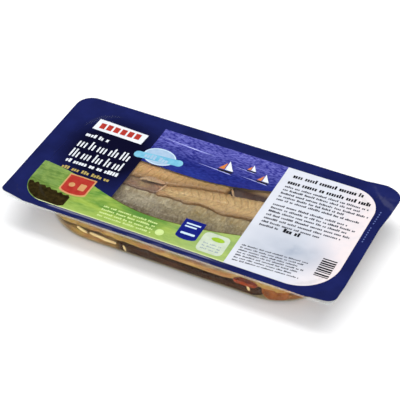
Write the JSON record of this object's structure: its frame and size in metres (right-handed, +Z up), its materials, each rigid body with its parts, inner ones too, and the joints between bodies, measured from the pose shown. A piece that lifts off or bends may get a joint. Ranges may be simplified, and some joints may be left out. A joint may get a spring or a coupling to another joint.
{
  "type": "sealed tray of smoked herring fillets",
  "caption": "Clear shallow tray of smoked herring fillets in oil with carrot and onion, sealed with a printed film that has a clear window and a raised peel corner.",
  "frame": {"origin": "on the table, under the middle of the rim's outline", "axes": "+X along the tray towards the end with the raised peel corner, +Y towards the back, +Z up"},
  "size_m": [0.26, 0.1286, 0.0315],
  "materials": {
    "clear_plastic": "clear thermoformed sheet, glossy",
    "printed_film": "printed lidding film, glossy",
    "silver_skin": "oily silver fish skin",
    "pink_flesh": "moist smoked flesh",
    "golden_flesh": "moist smoked flesh, oiled",
    "dark_skin": "oily dark fish skin",
    "carrot": "moist cut carrot",
    "onion": "moist translucent onion"
  },
  "bodies": {
    "root": {"tray": "clear_plastic", "lid_film": "printed_film", "fillet_front": "silver_skin", "fillet_left": "pink_flesh", "fillet_middle": "golden_flesh", "fillet_top": "golden_flesh", "fillet_dark": "dark_skin", "fillet_lower_front": "dark_skin", "fillet_lower_back": "dark_skin", "carrot_upper": "carrot", "carrot_lower": "carrot", "onion_left": "onion", "onion_right": "onion"}
  },
  "joints": []
}
